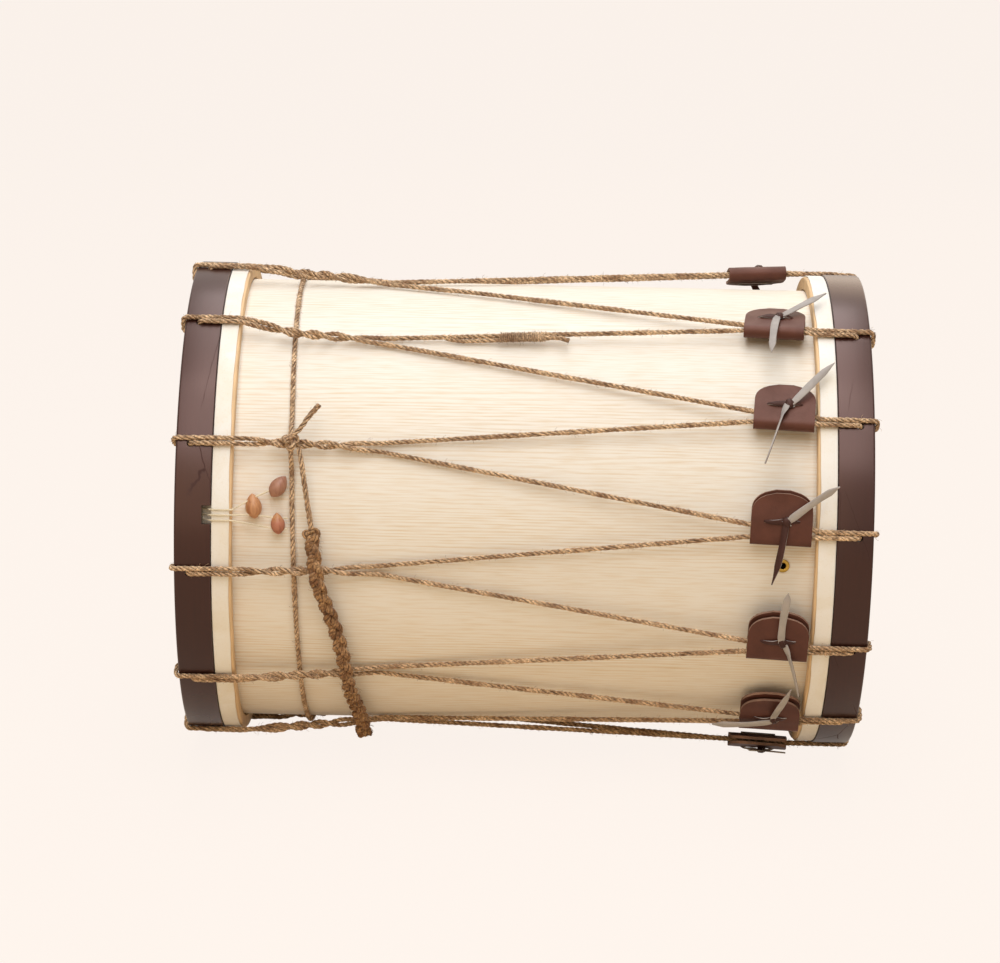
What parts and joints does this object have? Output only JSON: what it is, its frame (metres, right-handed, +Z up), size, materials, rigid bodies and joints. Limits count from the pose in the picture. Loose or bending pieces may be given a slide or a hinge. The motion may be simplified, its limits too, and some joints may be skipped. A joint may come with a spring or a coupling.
{
  "type": "renaissance drum",
  "caption": "Double-headed rope-tensioned drum on its side, with stained counter hoops, zigzag rope lacing, sliding leather tugs, gut snare and a plaited drag rope.",
  "frame": {"origin": "on the floor under the middle of the bounding box, the drum lying on its side as pictured", "axes": "+X along the drum axis towards the end with the tugs, -Y the front seen in the picture, +Z up"},
  "size_m": [0.4671, 0.3603, 0.3387],
  "materials": {
    "pine": "bare satin",
    "stained_hoop": "dark stain, satin varnish",
    "flesh_hoop": "bare",
    "skin": "natural calfskin, translucent",
    "jute": "laid rope, fuzzy",
    "tug_leather": "brown, satin grain",
    "thong_leather": "suede side pale, grain side dark",
    "gut": "dry",
    "toggle_wood": "polished",
    "brass": "dull"
  },
  "bodies": {
    "drum": {"bearing_ring_left": "pine", "bearing_ring_right": "pine", "counter_hoop_left": "stained_hoop", "counter_hoop_right": "stained_hoop", "drag_braid": "jute", "drag_lead": "jute", "flesh_hoop_left": "flesh_hoop", "flesh_hoop_right": "flesh_hoop", "girdle_knot": "jute", "girdle_rope": "jute", "head_left": "skin", "head_right": "skin", "shell": "pine", "snare_string_1": "gut", "snare_string_2": "gut", "snare_string_3": "gut", "snare_toggle_1": "toggle_wood", "snare_toggle_2": "toggle_wood", "snare_toggle_3": "toggle_wood", "tension_rope_01": "jute", "tension_rope_02": "jute", "tension_rope_03": "jute", "tension_rope_04": "jute", "tension_rope_05": "jute", "tension_rope_06": "jute", "tension_rope_07": "jute", "tension_rope_08": "jute", "tension_rope_09": "jute", "tension_rope_10": "jute", "tension_rope_11": "jute", "tension_rope_12": "jute", "vent_eyelet": "brass"},
    "tug_01_set": {"tug_01": "tug_leather", "thong_01": "thong_leather"},
    "tug_02_set": {"tug_02": "tug_leather", "thong_02": "thong_leather"},
    "tug_03_set": {"tug_03": "tug_leather", "thong_03": "thong_leather"},
    "tug_04_set": {"tug_04": "tug_leather", "thong_04": "thong_leather"},
    "tug_05_set": {"tug_05": "tug_leather", "thong_05": "thong_leather"},
    "tug_06_set": {"tug_06": "tug_leather", "thong_06": "thong_leather"},
    "tug_07_set": {"tug_07": "tug_leather", "thong_07": "thong_leather"},
    "tug_08_set": {"tug_08": "tug_leather", "thong_08": "thong_leather"},
    "tug_09_set": {"tug_09": "tug_leather", "thong_09": "thong_leather"},
    "tug_10_set": {"tug_10": "tug_leather", "thong_10": "thong_leather"},
    "tug_11_set": {"tug_11": "tug_leather", "thong_11": "thong_leather"},
    "tug_12_set": {"tug_12": "tug_leather", "thong_12": "thong_leather"}
  },
  "joints": [
    {"name": "tug_01_slide", "type": "slide", "parent": "drum", "child": "tug_01_set", "axis": [-0.9971, -0.0666, -0.0366], "range_m": [0, 0.035], "deforming": ["tension_rope_01"]},
    {"name": "tug_02_slide", "type": "slide", "parent": "drum", "child": "tug_02_set", "axis": [-0.9921, 0.1255, 0.001], "range_m": [0, 0.035], "deforming": ["tension_rope_02"]},
    {"name": "tug_03_slide", "type": "slide", "parent": "drum", "child": "tug_03_set", "axis": [-0.9963, 0.0834, 0.0227], "range_m": [0, 0.035], "deforming": ["tension_rope_03"]},
    {"name": "tug_04_slide", "type": "slide", "parent": "drum", "child": "tug_04_set", "axis": [-0.9981, 0.0569, 0.023], "range_m": [0, 0.035], "deforming": ["tension_rope_04"]},
    {"name": "tug_05_slide", "type": "slide", "parent": "drum", "child": "tug_05_set", "axis": [-0.9985, 0.0431, 0.0348], "range_m": [0, 0.035], "deforming": ["tension_rope_05"]},
    {"name": "tug_06_slide", "type": "slide", "parent": "drum", "child": "tug_06_set", "axis": [-0.9985, 0.0489, 0.026], "range_m": [0, 0.035], "deforming": ["tension_rope_06"]},
    {"name": "tug_07_slide", "type": "slide", "parent": "drum", "child": "tug_07_set", "axis": [-0.9985, 0.0246, 0.0481], "range_m": [0, 0.035], "deforming": ["tension_rope_07"]},
    {"name": "tug_08_slide", "type": "slide", "parent": "drum", "child": "tug_08_set", "axis": [-0.9984, 0.0065, 0.0567], "range_m": [0, 0.035], "deforming": ["tension_rope_08"]},
    {"name": "tug_09_slide", "type": "slide", "parent": "drum", "child": "tug_09_set", "axis": [-0.9984, -0.0227, 0.0524], "range_m": [0, 0.035], "deforming": ["tension_rope_09"]},
    {"name": "tug_10_slide", "type": "slide", "parent": "drum", "child": "tug_10_set", "axis": [-0.9984, -0.0458, 0.034], "range_m": [0, 0.035], "deforming": ["tension_rope_10"]},
    {"name": "tug_11_slide", "type": "slide", "parent": "drum", "child": "tug_11_set", "axis": [-0.9986, -0.0511, -0.012], "range_m": [0, 0.035], "deforming": ["tension_rope_11"]},
    {"name": "tug_12_slide", "type": "slide", "parent": "drum", "child": "tug_12_set", "axis": [-0.9985, -0.0236, -0.0486], "range_m": [0, 0.035], "deforming": ["tension_rope_12"]}
  ]
}
